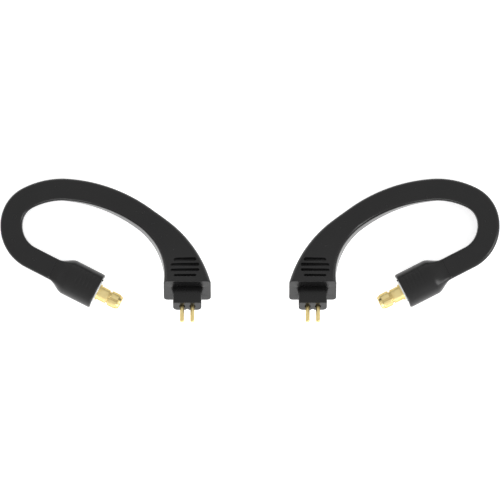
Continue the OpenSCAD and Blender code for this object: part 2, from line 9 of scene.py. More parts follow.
import bmesh
import bpy
import numpy as np
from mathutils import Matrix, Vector

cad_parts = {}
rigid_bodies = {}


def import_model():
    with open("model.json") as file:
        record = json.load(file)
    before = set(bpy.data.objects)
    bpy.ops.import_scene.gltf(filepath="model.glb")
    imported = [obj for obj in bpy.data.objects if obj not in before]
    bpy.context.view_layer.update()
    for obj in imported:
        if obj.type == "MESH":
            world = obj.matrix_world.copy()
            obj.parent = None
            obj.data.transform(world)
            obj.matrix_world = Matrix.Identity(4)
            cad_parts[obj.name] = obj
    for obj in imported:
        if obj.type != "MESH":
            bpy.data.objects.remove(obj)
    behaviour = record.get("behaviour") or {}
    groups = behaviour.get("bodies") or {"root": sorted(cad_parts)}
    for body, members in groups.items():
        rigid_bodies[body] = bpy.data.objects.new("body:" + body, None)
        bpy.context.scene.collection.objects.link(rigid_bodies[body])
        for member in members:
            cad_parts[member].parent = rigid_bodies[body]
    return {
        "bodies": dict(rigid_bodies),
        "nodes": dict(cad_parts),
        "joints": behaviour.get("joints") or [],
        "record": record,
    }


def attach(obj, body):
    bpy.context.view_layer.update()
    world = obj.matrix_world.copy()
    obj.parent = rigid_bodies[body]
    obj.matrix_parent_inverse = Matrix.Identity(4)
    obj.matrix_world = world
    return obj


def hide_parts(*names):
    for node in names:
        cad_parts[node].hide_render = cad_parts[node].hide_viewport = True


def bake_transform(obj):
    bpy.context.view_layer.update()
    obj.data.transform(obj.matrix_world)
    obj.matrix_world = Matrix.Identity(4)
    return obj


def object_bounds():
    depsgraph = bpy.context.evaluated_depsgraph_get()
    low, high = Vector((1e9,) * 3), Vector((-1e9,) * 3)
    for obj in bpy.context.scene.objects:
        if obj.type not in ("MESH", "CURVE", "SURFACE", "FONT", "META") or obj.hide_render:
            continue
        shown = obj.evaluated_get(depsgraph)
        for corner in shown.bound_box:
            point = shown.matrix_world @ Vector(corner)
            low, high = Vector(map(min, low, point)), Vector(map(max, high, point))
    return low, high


MM = 0.001

# ---- Driving sizes, in millimetres and degrees ----
LOOP_W, LOOP_T = 4.3, 4.2
END_W, END_T = 9.2, 6.6
TAPER_L, TAPER_POWER = 16.5, 1.42
EDGE_R = 0.8
END_FILLET = 0.13            # rounding of the end face's rim
END_LIFT, LIFT_POWER = 34, 2.5
TWIST = 12.5
ARCS = ((16, 46), (28.9, 41), (15, 30), (5.8, 50), (6.9, 76))
START_HEADING = 90
TAIL_L = 5.1
HALF_GAP, END_Y = 12.12, 7.78
NECK_L, NECK_D = 2.2, 3.5

SLOT_N, SLOT_PITCH, SLOT_FIRST, SLOT_SHIFT = 4, 1.4, 1.6, 0.45
SLOT_H = (0.5, 0.85)
SLOT_L_SHORT, SLOT_L_LONG = 4.3, 5.5
SLOT_DEPTH = 0.5
SLOT_RIM, SLOT_SLOPE = 0.035, 0.11   # how far outside its outline a slot starts, and the run of its wall

PIN_D, PIN_PITCH, PIN_L = 0.78, 2.0, 3.65
BLOCK_W, BLOCK_T, BLOCK_L, BLOCK_R, BLOCK_BACK_R = 5.5, 2.7, 3.65, 0.4, 0.9
BLOCK_FILLET = 0.14
KEY_R = 0.3
LIP = 0.9
COUNTERBORE_R, COUNTERBORE_DEPTH, COUNTERBORE_EDGE = 0.56, 0.3, 0.05
PLAY = 0.01                  # of the pins, the contact and the dielectric in what holds them
PIN_ROOT = 0.1               # how far inside the block's end the pin's side has a ring
TIP_FLAT = 0.9               # height of a pin's dome, as a share of its radius
MOUTH = ((0.16, 0.0), (0.05, 0.03), (0.0, 0.1), (0.0, LIP))   # (extra width, depth) of the block's opening

HOUSING_D, HOUSING_L, FLARE_L = 7.06, 6.05, 3.4
GROOVE_N, GROOVE_PITCH, GROOVE_W, GROOVE_DEPTH = 5, 0.8, 0.3, 0.06
GROOVE_SPAN, GROOVE_TURN = 46, 17
GROOVE_FIRST = 1.2
GROOVE_FADE = 6              # degrees over which a groove's end fades out
FACE_EDGE, RECESS_EDGE = 0.32, 0.04
FACE_U = FLARE_L + HOUSING_L
MOULD_D, MOULD_END, CHAMBER_U = HOUSING_D - 1.9, FACE_U - 1.9, NECK_L + 0.3
END_RING_D, END_RING_T, END_RING_STEP = HOUSING_D - 0.9, 0.3, 0.25
END_RING_RIM, END_RING_DISH = 0.3, 0.03
FLANGE_D, FLANGE_L = 3.24, 0.38
COLLAR_D, COLLAR_END = 2.75, 2.28
STEM_D = 2.38
RING_D, RING_L = 3.0, 1.75
PLUG_L = 5.03
RING_END = PLUG_L - 0.58
RING_U = RING_END - RING_L
SEAT_D, NOSE_D = RING_D - 0.8, RING_D - 0.7
BORE_D = 1.56
CONTACT_D, CONTACT_BACK, CONTACT_TAPER = 0.4, 0.15, 0.2
DIELECTRIC_BACK = 0.9
STEM_CUT, STEM_CUT_L = 0.08, 0.2     # the undercut behind the collar
SEAT_RUN = 0.15                      # how far the ring's seat runs on behind the ring
RING_LEAD, RING_BACK_LEAD, RING_LEAD_R, RING_CHAMFER = 0.1, 0.15, 0.1, 0.06
SHELL_CORNER, RING_CORNER, END_RING_CORNER = 0.045, 0.04, 0.06
SPLIT = 0.35
GAP = 0.05
HOUSING_FROM = GAP * 0.4     # where the housing starts, past the seam


# ---- The loop's line ----
def turned(p, heading, radius, turn):
    h, t = math.radians(heading), math.radians(heading + turn)
    return np.array([p[0] + radius * (math.sin(t) - math.sin(h)),
                     p[1] + radius * (math.cos(h) - math.cos(t))])


def arc_starts():
    """Where each arc begins along the line, its first point and its heading; the straight tail is last."""
    s, p, heading = 0.0, np.array([-HALF_GAP, -END_Y]), START_HEADING
    found = []
    for radius, turn in ARCS:
        found.append((s, p, heading, radius))
        p = turned(p, heading, radius, turn)
        heading += turn
        s += radius * math.radians(turn)
    found.append((s, p, heading, None))
    return found


STARTS = arc_starts()
CROWN_S = STARTS[2][0]
SEAM_S = STARTS[-1][0] + TAIL_L
TAIL_RUN = SEAM_S - CROWN_S
EASE = 0.15                  # how gently the tail's climb begins, as a share of its run
EASE_SLOPE = (1 + 2 * EASE) / (1 + EASE)
END_SLOPE = math.tan(math.radians(END_LIFT))
END_RISE = END_SLOPE * CROWN_S / LIFT_POWER
TAIL_CLIMB = (HOUSING_D - LOOP_T) / 2 / (1 + EASE_SLOPE * FLARE_L / TAIL_RUN)


def unit(v):
    return v / np.linalg.norm(v)


def taper(s):
    return max(0.0, 1 - s / TAPER_L) ** TAPER_POWER


def depth(s):
    return LOOP_T + (END_T - LOOP_T) * taper(s)


def height(s):
    """Height of the line above the table, and its slope."""
    if s < CROWN_S:
        left = 1 - s / CROWN_S
        return LOOP_T / 2 + END_RISE * left ** LIFT_POWER, -END_SLOPE * left ** (LIFT_POWER - 1)
    x = (s - CROWN_S) / TAIL_RUN
    bent = min(1.0, x)
    climb = (1 + EASE) * bent * bent / (bent + EASE) + EASE_SLOPE * (x - bent)
    slope = (1 + EASE) * bent * (bent + 2 * EASE) / (bent + EASE) ** 2
    return LOOP_T / 2 + TAIL_CLIMB * climb, TAIL_CLIMB / TAIL_RUN * slope


def place(s):
    """Point of the line at s, and the axes ahead, towards the inside, and towards the front."""
    begin, p, heading, radius = [a for a in STARTS if a[0] <= s or a is STARTS[0]][-1]
    if radius is None:
        h = math.radians(heading)
        p = p + (s - begin) * np.array([math.cos(h), math.sin(h)])
    else:
        turn = math.degrees((s - begin) / radius)
        p = turned(p, heading, radius, turn)
        heading += turn
        h = math.radians(heading)
    z, slope = height(s)
    roll = math.radians(TWIST) * math.sin(2 * math.radians(180 - heading)) if heading < 180 else 0.0
    ahead = unit(np.array([math.cos(h), math.sin(h), slope]))
    level = np.array([-math.sin(h), math.cos(h), 0])
    point = np.array([p[0], p[1], z]) + depth(s) / 2 * math.sin(roll) * level
    side = math.cos(roll) * level + math.sin(roll) * np.cross(ahead, level)
    return point, ahead, side, np.cross(ahead, side)


LIFT = math.radians(END_LIFT)
WIDE_END = np.array([-HALF_GAP, -END_Y, height(0)[0]])
OUT_OF_END = np.array([0, -math.cos(LIFT), math.sin(LIFT)])
FRONT_OF_END = np.array([0, math.sin(LIFT), math.cos(LIFT)])
SEAM, PLUG_AXIS, PLUG_SIDE, PLUG_FRONT = place(SEAM_S)


def at_end(x, y, z):
    """A point in the flat plug's frame: z outwards from the end face, y towards the front."""
    return WIDE_END + np.array([x, 0, 0]) + y * FRONT_OF_END + z * OUT_OF_END


def at_plug(a, b, u):
    """A point in the round plug's frame: u along it from the seam."""
    return SEAM + a * PLUG_SIDE + b * PLUG_FRONT + u * PLUG_AXIS


# ---- Mesh helpers ----
def smooth_step(x):
    x = np.clip(x, 0, 1)
    return x * x * (3 - 2 * x)


SHARP_ANGLE = 38             # degrees above which an edge is shaded sharp


def finished(name, mesh):
    """An object from a mesh in millimetres, shaded smooth but for its sharp edges."""
    bm = bmesh.new()
    bm.from_mesh(mesh)
    bmesh.ops.remove_doubles(bm, verts=bm.verts, dist=1e-5)
    bmesh.ops.recalc_face_normals(bm, faces=bm.faces)
    bm.to_mesh(mesh)
    bm.free()
    for v in mesh.vertices:
        v.co *= MM
    for p in mesh.polygons:
        p.use_smooth = True
    mesh.set_sharp_from_angle(angle=math.radians(SHARP_ANGLE))
    ob = bpy.data.objects.new(name, mesh)
    bpy.context.scene.collection.objects.link(ob)
    return ob


def add_strip(bm, rings):
    """Quads between rings of vertices, each ring closed."""
    n = len(rings[0])
    for lower, upper in zip(rings, rings[1:]):
        for k in range(n):
            j = (k + 1) % n
            bm.faces.new((lower[k], lower[j], upper[j], upper[k]))


def add_ring(bm, points):
    return [bm.verts.new(p) for p in points]


def fill_loops(bm, loops):
    """A flat face bounded by an outline and by the holes in it."""
    edges = []
    for loop in loops:
        for k, v in enumerate(loop):
            w = loop[(k + 1) % len(loop)]
            edges.append(bm.edges.get((v, w)) or bm.edges.new((v, w)))
    bmesh.ops.triangle_fill(bm, use_beauty=True, use_dissolve=False, edges=edges)


def turned_piece(name, profile, sides=96, gap=0.0, frame=at_plug, centre=(0, 0)):
    """A piece of revolution from (radius, distance along) points; a gap in degrees leaves it split."""
    bm = bmesh.new()
    start, span = math.radians(gap / 2), math.radians(360 - gap)
    steps = sides if gap == 0 else sides + 1
    columns = []
    for k in range(steps):
        a = start + span * k / sides
        columns.append(add_ring(bm, [frame(centre[0] + r * math.sin(a), centre[1] + r * math.cos(a), u)
                                     for r, u in profile]))
    if gap == 0:
        columns.append(columns[0])
    add_strip(bm, columns)
    if gap:
        bm.faces.new(columns[0])
        bm.faces.new(list(reversed(columns[-1])))
    mesh = bpy.data.meshes.new(name)
    bm.to_mesh(mesh)
    bm.free()
    return finished(name, mesh)


CORNER_STEPS = 4


def rounded(profile, radius):
    """The corners of a closed (radius, distance) outline, each turned into a small arc."""
    points = [np.array(p, float) for p in profile]
    out = []
    for k, p in enumerate(points):
        before, after = points[k - 1] - p, points[(k + 1) % len(points)] - p
        la, lb = np.linalg.norm(before), np.linalg.norm(after)
        if p[0] < 1e-6 or la < 1e-6 or lb < 1e-6:
            out.append(tuple(p))
            continue
        cut = min(radius, la * 0.45, lb * 0.45)
        a, b = p + before / la * cut, p + after / lb * cut
        for i in range(CORNER_STEPS + 1):
            t = i / CORNER_STEPS
            out.append(tuple((1 - t) ** 2 * a + 2 * t * (1 - t) * p + t * t * b))
    return out


OUTLINE_STEPS = 8


def box_outline(w, t, r, key=0.0, back_r=None):
    """A rounded rectangle; its back corners can differ, and its back edge can have a key groove."""
    out = []
    for q, (x, y) in enumerate(((1, 1), (-1, 1), (-1, -1), (1, -1))):
        c = back_r if back_r and y < 0 else r
        for k in range(OUTLINE_STEPS + 1):
            a = math.radians(90 * (q + k / OUTLINE_STEPS))
            out.append((x * (w / 2 - c) + c * math.cos(a), y * (t / 2 - c) + c * math.sin(a)))
        if q == 2 and key:
            for k in range(OUTLINE_STEPS + 1):
                a = math.radians(180 - 180 * k / OUTLINE_STEPS)
                out.append((key * math.cos(a), -t / 2 + key * math.sin(a)))
    return out


# ---- Jacket ----
FRONT_COLUMNS, OTHER_COLUMNS = 132, 88
FRONT_SHARE = 0.17           # the dense columns reach this far round the section, either way
SLOTS_FROM, SLOTS_TO = 0.6, 6.9      # stretch of the line whose sections can meet a slot
SLOT_STEP, PLAIN_STEP = 0.045, 0.45  # between sections, inside that stretch and past it
SEAM_EDGE, SEAM_INSET = 0.03, 0.02   # the jacket's small step down at the seam
FILLET_STEPS = 5


def column_fractions():
    """How far round the section each column stands, from the middle of the front; dense at the front."""
    front = np.linspace(-FRONT_SHARE, FRONT_SHARE, FRONT_COLUMNS, endpoint=False)
    other = np.linspace(FRONT_SHARE, 1 - FRONT_SHARE, OTHER_COLUMNS, endpoint=False)
    return np.concatenate([front, other]) % 1


FRACTIONS = column_fractions()


def section(w, t, r):
    """Points round a rounded rectangle at FRACTIONS, as (towards the inside, towards the front)."""
    r = min(r, w / 2 - 1e-4, t / 2 - 1e-4)
    flat_w, flat_t, corner = w - 2 * r, t - 2 * r, math.pi * r / 2
    lengths = [flat_w / 2, corner, flat_t, corner, flat_w, corner, flat_t, corner, flat_w / 2]
    ends = np.cumsum(lengths)
    way = FRACTIONS * ends[-1]
    hw, ht = w / 2, t / 2
    out = np.zeros((len(way), 2))
    corners = {1: (-1, 1, 90), 3: (-1, -1, 180), 5: (1, -1, 270), 7: (1, 1, 0)}
    lines = {0: ((0, ht), (-1, 0)), 2: ((-hw, ht - r), (0, -1)), 4: ((-hw + r, -ht), (1, 0)),
             6: ((hw, -ht + r), (0, 1)), 8: ((hw - r, ht), (-1, 0))}
    which = np.minimum(np.searchsorted(ends, way, side="right"), 8)
    for i, (k, d) in enumerate(zip(which, way)):
        run = d - (ends[k] - lengths[k])
        if k in corners:
            x, y, begin = corners[k]
            a = math.radians(begin) + run / r
            out[i] = (x * (hw - r) + r * math.cos(a), y * (ht - r) + r * math.sin(a))
        else:
            (x, y), (dx, dy) = lines[k]
            out[i] = (x + dx * run, y + dy * run)
    return out


def slot_floors():
    """The middle of each grip slot's floor."""
    floors = []
    for i in range(SLOT_N):
        s = (SLOT_FIRST + i * SLOT_PITCH) * math.cos(LIFT)
        point, _, _, front = place(s)
        floors.append(point + (depth(s) / 2 - SLOT_DEPTH) * front)
    return floors


SLOT_FLOORS = slot_floors()


def slotted(points):
    """Points of the front face, those inside a grip slot let down to its floor."""
    rel = points - WIDE_END
    across = rel[:, 0] + SLOT_SHIFT
    sink = np.zeros(len(points))
    for i, floor in enumerate(SLOT_FLOORS):
        h = SLOT_H[0] + (SLOT_H[1] - SLOT_H[0]) * i / (SLOT_N - 1)
        l = SLOT_L_SHORT if i in (0, SLOT_N - 1) else SLOT_L_LONG
        dx = np.maximum(np.abs(across) - (l - h) / 2, 0)
        away = np.hypot(dx, (points - floor) @ OUT_OF_END) - h / 2
        room = np.maximum((points - floor) @ FRONT_OF_END, 0)
        sink = np.maximum(sink, room * smooth_step((SLOT_RIM - away) / SLOT_SLOPE))
    return points - sink[:, None] * FRONT_OF_END


def jacket_ring(s, inset=0.0):
    point, _, side, front = place(s)
    w = LOOP_W + (END_W - LOOP_W) * taper(s) - 2 * inset
    t = depth(s) - 2 * inset
    ab = section(w, t, max(0.1, EDGE_R - inset))
    points = point + ab[:, :1] * side + ab[:, 1:] * front
    if s < SLOTS_TO:
        on_front = ab[:, 1] > t / 2 - 0.02
        points[on_front] = slotted(points[on_front])
    return points


def jacket_stations():
    return np.concatenate([
        np.linspace(END_FILLET, SLOTS_FROM, 5, endpoint=False)[1:],
        np.arange(SLOTS_FROM, SLOTS_TO, SLOT_STEP),
        np.arange(SLOTS_TO + 0.2, SEAM_S - 0.3, PLAIN_STEP)])


def jacket():
    bm = bmesh.new()
    rings = []
    for a in np.linspace(0, math.pi / 2, FILLET_STEPS + 1):
        rings.append(add_ring(bm, jacket_ring(END_FILLET * (1 - math.sin(a)),
                                              END_FILLET * (1 - math.cos(a)))))
    rings = rings[::-1]
    rings += [add_ring(bm, jacket_ring(s)) for s in jacket_stations()]
    rings.append(add_ring(bm, jacket_ring(SEAM_S - SEAM_EDGE)))
    rings.append(add_ring(bm, jacket_ring(SEAM_S, SEAM_INSET)))
    for u in (0.0, NECK_L):
        ab = section(NECK_D, NECK_D, NECK_D / 2)
        rings.append(add_ring(bm, SEAM + ab[:, :1] * PLUG_SIDE + ab[:, 1:] * PLUG_FRONT + u * PLUG_AXIS))
    add_strip(bm, rings)
    bm.faces.new(rings[-1])
    # The end face has the block's opening in it, with a slightly broken edge
    w, t = BLOCK_W + 2 * GAP, BLOCK_T + 2 * GAP
    mouth = [add_ring(bm, [at_end(x, y, -z) for x, y in box_outline(w + e, t + e, BLOCK_R + e / 2)])
             for e, z in MOUTH]
    add_strip(bm, mouth)
    bm.faces.new(mouth[-1])
    fill_loops(bm, [rings[0], mouth[0]])
    mesh = bpy.data.meshes.new("left_jacket_skin")
    bm.to_mesh(mesh)
    bm.free()
    return finished("left_jacket_skin", mesh)


# ---- Flat plug ----
def block():
    """The block, with its key groove, and with each pin's counterbore and hole right through."""
    bm = bmesh.new()
    rings = [add_ring(bm, [at_end(x, y, -LIP) for x, y in
                           box_outline(BLOCK_W, BLOCK_T, BLOCK_R, key=KEY_R, back_r=BLOCK_BACK_R)])]
    for a in np.linspace(0, math.pi / 2, FILLET_STEPS + 1):
        cut = BLOCK_FILLET * (1 - math.cos(a))
        outline = box_outline(BLOCK_W - 2 * cut, BLOCK_T - 2 * cut, BLOCK_R - cut, key=KEY_R,
                              back_r=BLOCK_BACK_R - cut)
        rings.append(add_ring(bm, [at_end(x, y, BLOCK_L - BLOCK_FILLET * (1 - math.sin(a)))
                                   for x, y in outline]))
    add_strip(bm, rings)
    front, back = [rings[-1]], [rings[0]]
    hole = PIN_D / 2 + PLAY
    for sign in (-1, 1):
        walls = [add_ring(bm, [at_end(sign * PIN_PITCH / 2 + r * math.sin(a), r * math.cos(a), BLOCK_L - z)
                               for a in np.linspace(0, 2 * math.pi, 32, endpoint=False)])
                 for r, z in ((COUNTERBORE_R + COUNTERBORE_EDGE, 0), (COUNTERBORE_R, COUNTERBORE_EDGE),
                              (COUNTERBORE_R, COUNTERBORE_DEPTH), (hole, COUNTERBORE_DEPTH),
                              (hole, BLOCK_L + LIP))]
        add_strip(bm, walls)
        front.append(walls[0])
        back.append(walls[-1])
    fill_loops(bm, front)
    fill_loops(bm, back)
    mesh = bpy.data.meshes.new("left_plug_block_skin")
    bm.to_mesh(mesh)
    bm.free()
    return finished("left_plug_block_skin", mesh)


def pin(name, sign):
    """A pin with a domed tip, from inside the block outwards."""
    r = PIN_D / 2
    tip = BLOCK_L + PIN_L
    dome = [(r * math.cos(math.radians(a)), tip - r * TIP_FLAT * (1 - math.sin(math.radians(a))))
            for a in range(90, -1, -9)]
    profile = [(0, tip)] + dome[1:] + [(r, BLOCK_L - PIN_ROOT), (r, -LIP), (0, -LIP)]
    return turned_piece(name, profile, 48, frame=at_end, centre=(sign * PIN_PITCH / 2, 0))


# ---- Round housing and plug ----
def loop_reach(turns, grow):
    """Distance from the line to the loop's rounded square section, in directions round the line."""
    half_w, half_t, r = LOOP_W / 2 + grow, LOOP_T / 2 + grow, EDGE_R + grow
    x, y = np.abs(np.sin(turns)), np.abs(np.cos(turns))
    reach = np.minimum(half_w / np.maximum(x, 1e-9), half_t / np.maximum(y, 1e-9))
    cx, cy = half_w - r, half_t - r
    in_corner = (reach * x > cx) & (reach * y > cy)
    dot = x * cx + y * cy
    round_part = dot + np.sqrt(np.maximum(dot * dot - cx * cx - cy * cy + r * r, 0))
    return np.where(in_corner, round_part, reach)


def housing():
    """A sleeve that swells from the loop's section to a full round, with short faint grip grooves."""
    r = HOUSING_D / 2
    neck = NECK_D / 2 + GAP
    # Rows are (radius, swell, distance, grow). A row with no radius lies in the flare: its swell goes from
    # the loop's own section to the round, its distance is a share of the flare, and it grows that section.
    rows = [(neck, 1.0, HOUSING_FROM, 0.0), (None, 0.0, 0.0, 0.005)]
    rows += [(None, float(smooth_step(x)), x, 0.01) for x in np.linspace(0.01, 1, 30)]
    rows += [(r, 1.0, u, 0.0) for u in np.arange(FLARE_L + 0.05, FACE_U - FACE_EDGE, 0.05)]
    for a in range(0, 91, 15):
        rows.append((r - FACE_EDGE + FACE_EDGE * math.cos(math.radians(a)), 1.0,
                     FACE_U - FACE_EDGE + FACE_EDGE * math.sin(math.radians(a)), 0.0))
    inner = END_RING_D / 2 + GAP
    rows += [(inner + RECESS_EDGE, 1.0, FACE_U, 0.0), (inner, 1.0, FACE_U - RECESS_EDGE, 0.0),
             (inner, 1.0, FACE_U - END_RING_T, 0.0)]
    # The bore: past the plug's flange, round the inner mould, and down to the loop's neck
    flange, mould = FLANGE_D / 2 + GAP, MOULD_D / 2 + GAP
    rows += [(q, 1.0, u, 0.0) for q, u in (
        (flange, FACE_U - END_RING_T), (flange, MOULD_END + GAP), (mould, MOULD_END + GAP),
        (mould, CHAMBER_U - GAP), (neck, CHAMBER_U - GAP))]
    bm = bmesh.new()
    rings = []
    turns = np.radians(np.arange(0, 360, 2))
    around = (np.degrees(turns) - GROOVE_TURN + 90) % 180 - 90
    window = smooth_step((GROOVE_SPAN / 2 - np.abs(around)) / GROOVE_FADE + 0.5)
    for radius, swell, u, grow in rows:
        if radius is None:
            radii = loop_reach(turns, grow) * (1 - swell) + r * swell
            u = HOUSING_FROM + u * (FLARE_L - HOUSING_FROM)
        else:
            sink = 0.0
            if radius == r:
                for i in range(GROOVE_N):
                    off = abs(u - (FACE_U - GROOVE_FIRST - i * GROOVE_PITCH)) / (GROOVE_W / 2)
                    sink = max(sink, GROOVE_DEPTH * float(smooth_step(1.5 - off)))
            radii = radius - sink * window
        rings.append(add_ring(bm, [at_plug(q * math.sin(a), q * math.cos(a), u)
                                   for q, a in zip(radii, turns)]))
    add_strip(bm, rings + [rings[0]])
    mesh = bpy.data.meshes.new("left_housing_skin")
    bm.to_mesh(mesh)
    bm.free()
    return finished("left_housing_skin", mesh)


def end_ring():
    """The polished ring in the housing's face, slightly dished."""
    outer, inner = END_RING_D / 2, FLANGE_D / 2 + GAP
    back, front = FACE_U - END_RING_T + 0.02, FACE_U + END_RING_STEP
    return turned_piece("left_end_ring_skin", rounded(
        [(inner, back), (outer, back), (outer, front), (outer - END_RING_RIM, front),
         (inner + 0.25, front - END_RING_DISH), (inner, front - END_RING_DISH)], END_RING_CORNER))


def shell():
    f, stem = FACE_U, STEM_D / 2
    cut = stem - STEM_CUT
    return turned_piece("left_shell_skin", rounded([
        (BORE_D / 2, f - 1), (FLANGE_D / 2, f - 1), (FLANGE_D / 2, f + FLANGE_L),
        (COLLAR_D / 2, f + FLANGE_L), (COLLAR_D / 2, f + COLLAR_END), (cut, f + COLLAR_END),
        (cut, f + COLLAR_END + STEM_CUT_L), (stem, f + COLLAR_END + STEM_CUT_L),
        (stem, f + RING_U - SEAT_RUN),
        (SEAT_D / 2, f + RING_U - SEAT_RUN), (SEAT_D / 2, f + RING_END + GAP),
        (RING_D / 2 - RING_CHAMFER, f + RING_END + GAP), (NOSE_D / 2, f + PLUG_L),
        (BORE_D / 2, f + PLUG_L)], SHELL_CORNER))


def snap_ring():
    f, r = FACE_U, RING_D / 2
    inner = SEAT_D / 2 + GAP
    profile = rounded([
        (inner, f + RING_U), (r - RING_LEAD_R, f + RING_U), (r, f + RING_U + RING_BACK_LEAD),
        (r, f + RING_END - RING_LEAD), (r - RING_CHAMFER, f + RING_END), (inner, f + RING_END)], RING_CORNER)
    return turned_piece("left_snap_ring_skin", profile, gap=math.degrees(SPLIT / r))


def dielectric():
    inner, outer, end = CONTACT_D / 2 + PLAY, BORE_D / 2 - PLAY, FACE_U + PLUG_L - DIELECTRIC_BACK
    return turned_piece("left_dielectric_skin", rounded(
        [(inner, FACE_U), (outer, FACE_U), (outer, end), (inner, end)], RING_CORNER), 64)


def contact():
    tip, r = FACE_U + PLUG_L - CONTACT_BACK, CONTACT_D / 2
    return turned_piece("left_contact_skin", [
        (0, tip), (r / 2, tip), (r * 0.8, tip - 0.06), (r, tip - CONTACT_TAPER),
        (r, FACE_U), (0, FACE_U)], 32)


# ---- Materials; noise scales are in features per metre ----
CLOUDS, RUBS, DUST = 220, 650, 5200
TARNISH, LATHE_LINES = 900, 7000
FINE_GRAIN, PLASTIC_CLOUDS = 6000, 700
FLOOR_MOTTLE = 6


def material(name, colour, rough, metallic=0.0, specular=0.5):
    m = bpy.data.materials.new(name)
    m.use_nodes = True
    nodes, links = m.node_tree.nodes, m.node_tree.links
    shader = nodes["Principled BSDF"]
    shader.inputs["Base Color"].default_value = (*colour, 1)
    shader.inputs["Roughness"].default_value = rough
    shader.inputs["Metallic"].default_value = metallic
    shader.inputs["Specular IOR Level"].default_value = specular
    return m, nodes, links, shader


def noise(nodes, links, coords, scale, detail=3.0, rough=0.55):
    """A noise texture's value."""
    n = nodes.new("ShaderNodeTexNoise")
    n.inputs["Scale"].default_value = scale
    n.inputs["Detail"].default_value = detail
    n.inputs["Roughness"].default_value = rough
    links.new(coords, n.inputs["Vector"])
    return n.outputs["Fac"]


def ramp(nodes, links, value, stops):
    """A colour ramp through (position, colour) stops."""
    r = nodes.new("ShaderNodeValToRGB")
    while len(r.color_ramp.elements) < len(stops):
        r.color_ramp.elements.new(0.5)
    for e, (at, colour) in zip(r.color_ramp.elements, stops):
        e.position = at
        e.color = (*colour, 1)
    links.new(value, r.inputs["Fac"])
    return r.outputs["Color"]


def bumps(nodes, links, shader, layers):
    """Stacked bump maps, each (height, distance in metres, strength)."""
    normal = None
    for value, distance, strength in layers:
        b = nodes.new("ShaderNodeBump")
        b.inputs["Distance"].default_value = distance
        b.inputs["Strength"].default_value = strength
        links.new(value, b.inputs["Height"])
        if normal:
            links.new(normal, b.inputs["Normal"])
        normal = b.outputs["Normal"]
    links.new(normal, shader.inputs["Normal"])


BLACK_SPECULAR = 0.3
RUB = 0.22                   # how much the roughness of moulded black varies


def moulded_black(name, tone, rough, grain):
    """Black moulded surface: a faint cloud in its tone, spark-eroded grain, and rubbed patches."""
    m, nodes, links, shader = material(name, (tone,) * 3, rough, specular=BLACK_SPECULAR)
    coords = nodes.new("ShaderNodeTexCoord").outputs["Object"]
    cloud = noise(nodes, links, coords, CLOUDS, 4)
    dust = noise(nodes, links, coords, DUST, 2)
    rubbed = noise(nodes, links, coords, RUBS, 5, 0.7)
    warm = (tone * 1.02, tone, tone)
    links.new(ramp(nodes, links, cloud, [(0.3, (tone * 0.86, tone * 0.86, tone * 0.88)), (0.7, warm),
                                         (0.95, (tone * 1.25,) * 3)]), shader.inputs["Base Color"])
    mixed = nodes.new("ShaderNodeMath")
    mixed.operation = "MULTIPLY_ADD"
    mixed.inputs[1].default_value = RUB
    mixed.inputs[2].default_value = rough - RUB / 2
    links.new(rubbed, mixed.inputs[0])
    links.new(mixed.outputs[0], shader.inputs["Roughness"])
    bumps(nodes, links, shader, [(rubbed, 0.00002, 0.12), (dust, 0.00001, grain)])
    return m


# Painted shade: the gold's reflection is tinted dark at grazing angles, so its flanks stay darker than the
# white ground
GOLD_FLANK_SHADE = (0.42, 0.33, 0.18)


def plated_gold(name, colour, rough):
    """Gold plate over turned brass: fine lathe lines, thin tarnish and slightly uneven shine."""
    m, nodes, links, shader = material(name, colour, rough, 1.0)
    # painted shade: a dark tint on the grazing reflection darkens the gold's flanks
    shader.inputs["Specular Tint"].default_value = (*GOLD_FLANK_SHADE, 1)
    coords = nodes.new("ShaderNodeTexCoord").outputs["Object"]
    tarnish = noise(nodes, links, coords, TARNISH, 4)
    lines = noise(nodes, links, coords, LATHE_LINES, 2)
    deep = tuple(c * f for c, f in zip(colour, (0.9, 0.84, 0.72)))
    links.new(ramp(nodes, links, tarnish, [(0.25, deep), (0.55, colour),
                                           (0.9, tuple(min(1, c * 1.06) for c in colour))]),
              shader.inputs["Base Color"])
    rougher = nodes.new("ShaderNodeMapRange")
    rougher.inputs["To Min"].default_value = rough - 0.06
    rougher.inputs["To Max"].default_value = rough + 0.1
    links.new(lines, rougher.inputs["Value"])
    links.new(rougher.outputs["Result"], shader.inputs["Roughness"])
    bumps(nodes, links, shader, [(lines, 0.000006, 0.1)])
    return m


def metal(name, colour, rough):
    m, nodes, links, shader = material(name, colour, rough, 1.0)
    coords = nodes.new("ShaderNodeTexCoord").outputs["Object"]
    fine = noise(nodes, links, coords, FINE_GRAIN, 3)
    links.new(ramp(nodes, links, fine, [(0.3, tuple(c * 0.85 for c in colour)), (0.7, colour)]),
              shader.inputs["Base Color"])
    bumps(nodes, links, shader, [(fine, 0.000006, 0.12)])
    return m


def plastic(name, colour, rough):
    m, nodes, links, shader = material(name, colour, rough)
    coords = nodes.new("ShaderNodeTexCoord").outputs["Object"]
    cloud = noise(nodes, links, coords, PLASTIC_CLOUDS, 4)
    links.new(ramp(nodes, links, cloud, [(0.3, tuple(c * 0.85 for c in colour)), (0.7, colour)]),
              shader.inputs["Base Color"])
    bumps(nodes, links, shader, [(cloud, 0.00001, 0.1)])
    return m


